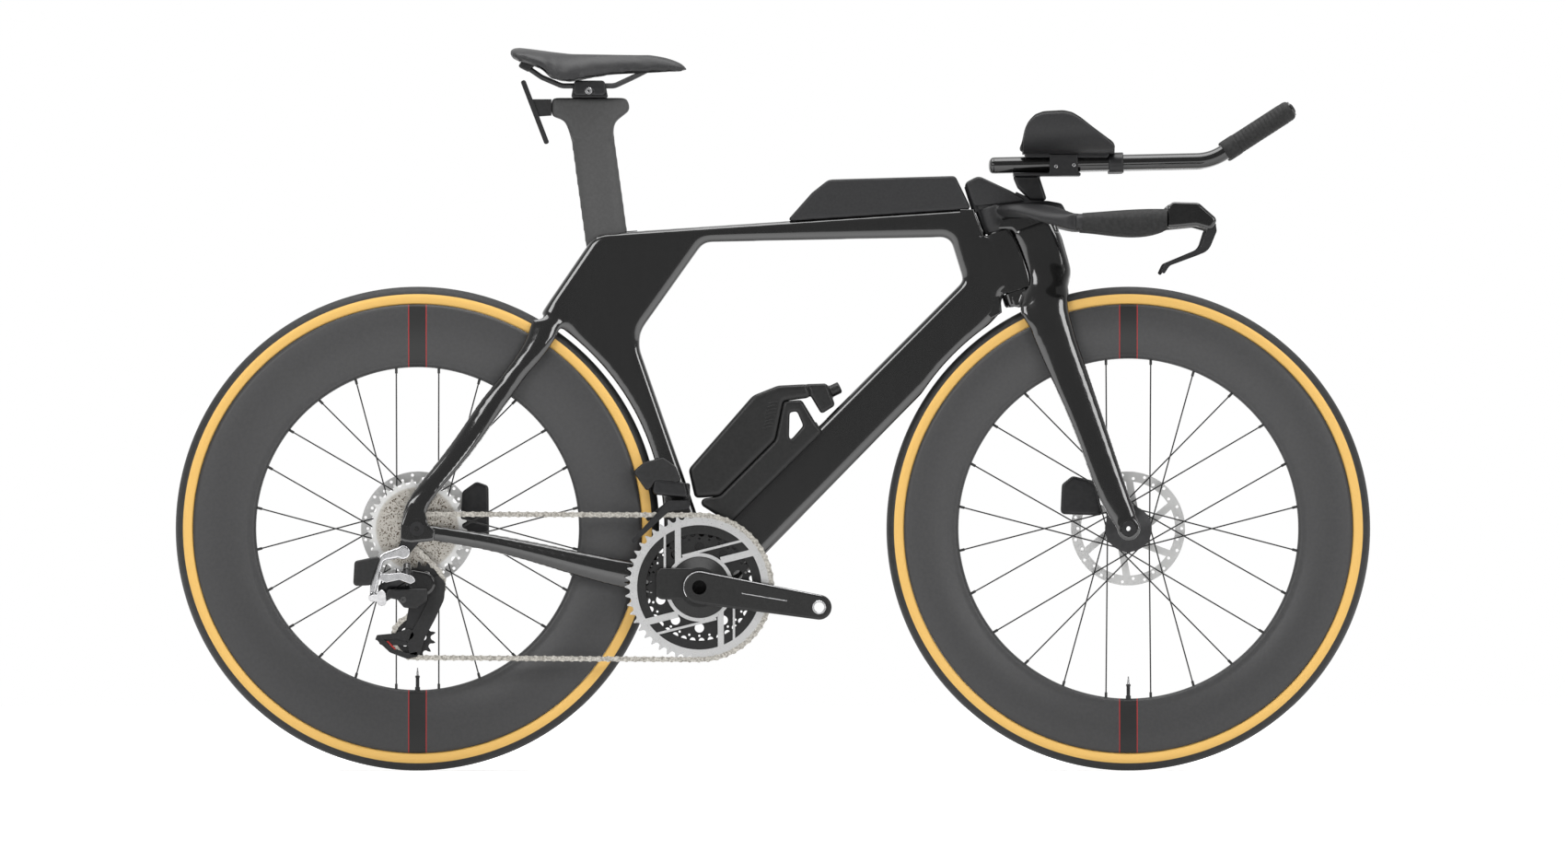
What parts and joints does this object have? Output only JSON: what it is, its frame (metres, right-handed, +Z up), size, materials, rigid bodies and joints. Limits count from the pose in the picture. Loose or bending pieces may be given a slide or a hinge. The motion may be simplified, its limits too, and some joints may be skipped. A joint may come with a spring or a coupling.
{
  "type": "time trial bicycle",
  "caption": "Black time trial bicycle with aero frame, deep-rim disc wheels, tan-wall tyres, base bar with forearm extensions, storage box and down tube bottle.",
  "frame": {"origin": "on the ground, midway between the two axles", "axes": "+X forward, +Y to the rider's left, +Z up"},
  "size_m": [1.674, 0.4294, 1.0103],
  "materials": {
    "frame_gloss": "gloss lacquer over carbon",
    "matte_carbon": "satin carbon",
    "black_alloy": "black anodised",
    "silver_alloy": "polished",
    "bearing_steel": "ground",
    "chain_steel": "plated",
    "rotor_steel": "ground",
    "tyre": "black tread, tan sidewalls",
    "rim": "satin carbon",
    "spoke": "black",
    "black_gloss": "gloss black",
    "black_plastic": "fine matte",
    "bottle": "soft matte",
    "grip": "textured",
    "pad": "closed foam",
    "saddle": "smooth cover over foam"
  },
  "bodies": {
    "frame_body": {"frame": "frame_gloss", "frame_bearings": "bearing_steel", "seatstays": "frame_gloss", "chainstays": "frame_gloss", "rear_axle": "black_alloy", "derailleur_hanger": "black_alloy", "storage_box": "matte_carbon", "bottle_cradle": "black_plastic", "rear_caliper": "black_alloy", "seatpost_wedge": "black_alloy", "chain": "chain_steel", "front_derailleur_body": "black_plastic", "front_derailleur_battery": "black_plastic", "rear_derailleur_base": "silver_alloy", "rear_derailleur_battery": "black_plastic"},
    "seat_body": {"seatpost": "matte_carbon", "saddle_clamp": "black_alloy", "saddle_rails": "matte_carbon", "saddle_shell": "black_plastic", "saddle_pad": "saddle", "rear_bottle_mount": "black_plastic"},
    "rear_wheel": {"rear_tyre": "tyre", "rear_rim": "rim", "rear_spokes": "spoke", "rear_hub": "black_alloy", "rear_rotor": "rotor_steel"},
    "cassette_body": {"cassette": "chain_steel"},
    "crankset": {"crank_right": "black_gloss", "crank_left": "black_gloss", "chainring_outer": "silver_alloy", "chainring_inner": "black_alloy"},
    "steering_body": {"fork": "frame_gloss", "front_axle": "black_alloy", "front_caliper": "black_alloy", "base_bar": "matte_carbon", "stem_cover": "matte_carbon", "bar_grips": "grip", "lever_bodies": "black_plastic", "riser": "black_alloy", "extensions": "black_gloss", "extension_grips": "grip", "arm_cups": "black_plastic", "arm_pads": "pad"},
    "front_wheel": {"front_tyre": "tyre", "front_rim": "rim", "front_spokes": "spoke", "front_hub": "black_alloy", "front_rotor": "rotor_steel"},
    "left_lever": {"brake_lever_left": "black_alloy"},
    "right_lever": {"brake_lever_right": "black_alloy"},
    "left_button": {"shift_button_left": "black_plastic"},
    "right_button": {"shift_button_right": "black_plastic"},
    "rear_outer_link": {"rear_derailleur_outer_link": "black_alloy"},
    "rear_inner_link": {"rear_derailleur_inner_link": "black_alloy"},
    "rear_knuckle": {"rear_derailleur_knuckle": "black_alloy"},
    "rear_cage": {"rear_derailleur_cage": "black_alloy"},
    "guide_pulley_body": {"guide_pulley": "black_plastic"},
    "tension_pulley_body": {"tension_pulley": "black_plastic"},
    "front_cage": {"front_derailleur_cage": "black_alloy"},
    "bottle_body": {"bottle": "bottle"}
  },
  "joints": [
    {"name": "steering", "type": "hinge", "parent": "frame_body", "child": "steering_body", "pos_m": [0.34066, 0, 0.67207], "axis": [-0.3007, 0, 0.9537], "range_deg": [-38, 38]},
    {"name": "rear_wheel_spin", "type": "hinge", "parent": "frame_body", "child": "rear_wheel", "pos_m": [-0.4981, 0, 0.339], "axis": [0, 1, 0], "continuous": true},
    {"name": "front_wheel_spin", "type": "hinge", "parent": "steering_body", "child": "front_wheel", "pos_m": [0.4981, 0, 0.339], "axis": [0, 1, 0], "continuous": true},
    {"name": "crank_spin", "type": "hinge", "parent": "frame_body", "child": "crankset", "pos_m": [-0.10302, 0, 0.257], "axis": [0, 1, 0], "continuous": true, "deforming": ["chain"]},
    {"name": "cassette_spin", "type": "hinge", "parent": "frame_body", "child": "cassette_body", "pos_m": [-0.4981, 0, 0.339], "axis": [0, 1, 0], "continuous": true},
    {"name": "seatpost_height", "type": "slide", "parent": "frame_body", "child": "seat_body", "axis": [-0.1357, 0, 0.9907], "range_m": [-0.045, 0.03]},
    {"name": "brake_left", "type": "hinge", "parent": "steering_body", "child": "left_lever", "pos_m": [0.61163, 0.2, 0.76265], "axis": [0, 1, 0], "range_deg": [0, 20], "stiffness_Nm_per_rad": 1.2, "springref_deg": -5.73},
    {"name": "brake_right", "type": "hinge", "parent": "steering_body", "child": "right_lever", "pos_m": [0.61163, -0.2, 0.76265], "axis": [0, 1, 0], "range_deg": [0, 20], "stiffness_Nm_per_rad": 1.2, "springref_deg": -5.73},
    {"name": "shift_left", "type": "slide", "parent": "steering_body", "child": "left_button", "axis": [-0.84, 0, -0.5426], "range_m": [0, 0.001], "stiffness_N_per_m": 1500, "springref_m": -0.0005},
    {"name": "shift_right", "type": "slide", "parent": "steering_body", "child": "right_button", "axis": [-0.84, 0, -0.5426], "range_m": [0, 0.001], "stiffness_N_per_m": 1500, "springref_m": -0.0005},
    {"name": "rear_shift", "type": "hinge", "parent": "frame_body", "child": "rear_outer_link", "pos_m": [-0.5471, -0.092, 0.254], "axis": [0, 0.7694, 0.6388], "range_deg": [0, 76], "deforming": ["chain"]},
    {"name": "rear_shift_inner", "type": "hinge", "parent": "frame_body", "child": "rear_inner_link", "pos_m": [-0.5471, -0.08242, 0.24246], "axis": [0, 0.7694, 0.6388], "range_deg": [0, 76]},
    {"name": "rear_knuckle_pivot", "type": "hinge", "parent": "rear_outer_link", "child": "rear_knuckle", "pos_m": [-0.51164, -0.1097, 0.27532], "axis": [0, 0.7694, 0.6388], "range_deg": [-76, 0]},
    {"name": "cage_swing", "type": "hinge", "parent": "rear_knuckle", "child": "rear_cage", "pos_m": [-0.4891, -0.065, 0.262], "axis": [0, 1, 0], "range_deg": [-25, 10], "stiffness_Nm_per_rad": 1.5, "springref_deg": 10, "deforming": ["chain"]},
    {"name": "guide_pulley_spin", "type": "hinge", "parent": "rear_cage", "child": "guide_pulley_body", "pos_m": [-0.4891, -0.065, 0.262], "axis": [0, 1, 0], "continuous": true},
    {"name": "tension_pulley_spin", "type": "hinge", "parent": "rear_cage", "child": "tension_pulley_body", "pos_m": [-0.50336, -0.065, 0.18735], "axis": [0, 1, 0], "continuous": true},
    {"name": "front_shift", "type": "slide", "parent": "frame_body", "child": "front_cage", "axis": [0, 1, 0], "range_m": [0, 0.007], "deforming": ["chain"]},
    {"name": "bottle_lift", "type": "slide", "parent": "frame_body", "child": "bottle_body", "axis": [-0.235, 0, 0.972], "range_m": [0, 0.1]}
  ],
  "couplings": [
    {"joint": "cassette_spin", "follows": "crank_spin", "ratio": 5},
    {"joint": "guide_pulley_spin", "follows": "crank_spin", "ratio": -3.5714},
    {"joint": "tension_pulley_spin", "follows": "crank_spin", "ratio": 3.5714},
    {"joint": "rear_shift_inner", "follows": "rear_shift", "ratio": 1},
    {"joint": "rear_knuckle_pivot", "follows": "rear_shift", "ratio": -1}
  ]
}
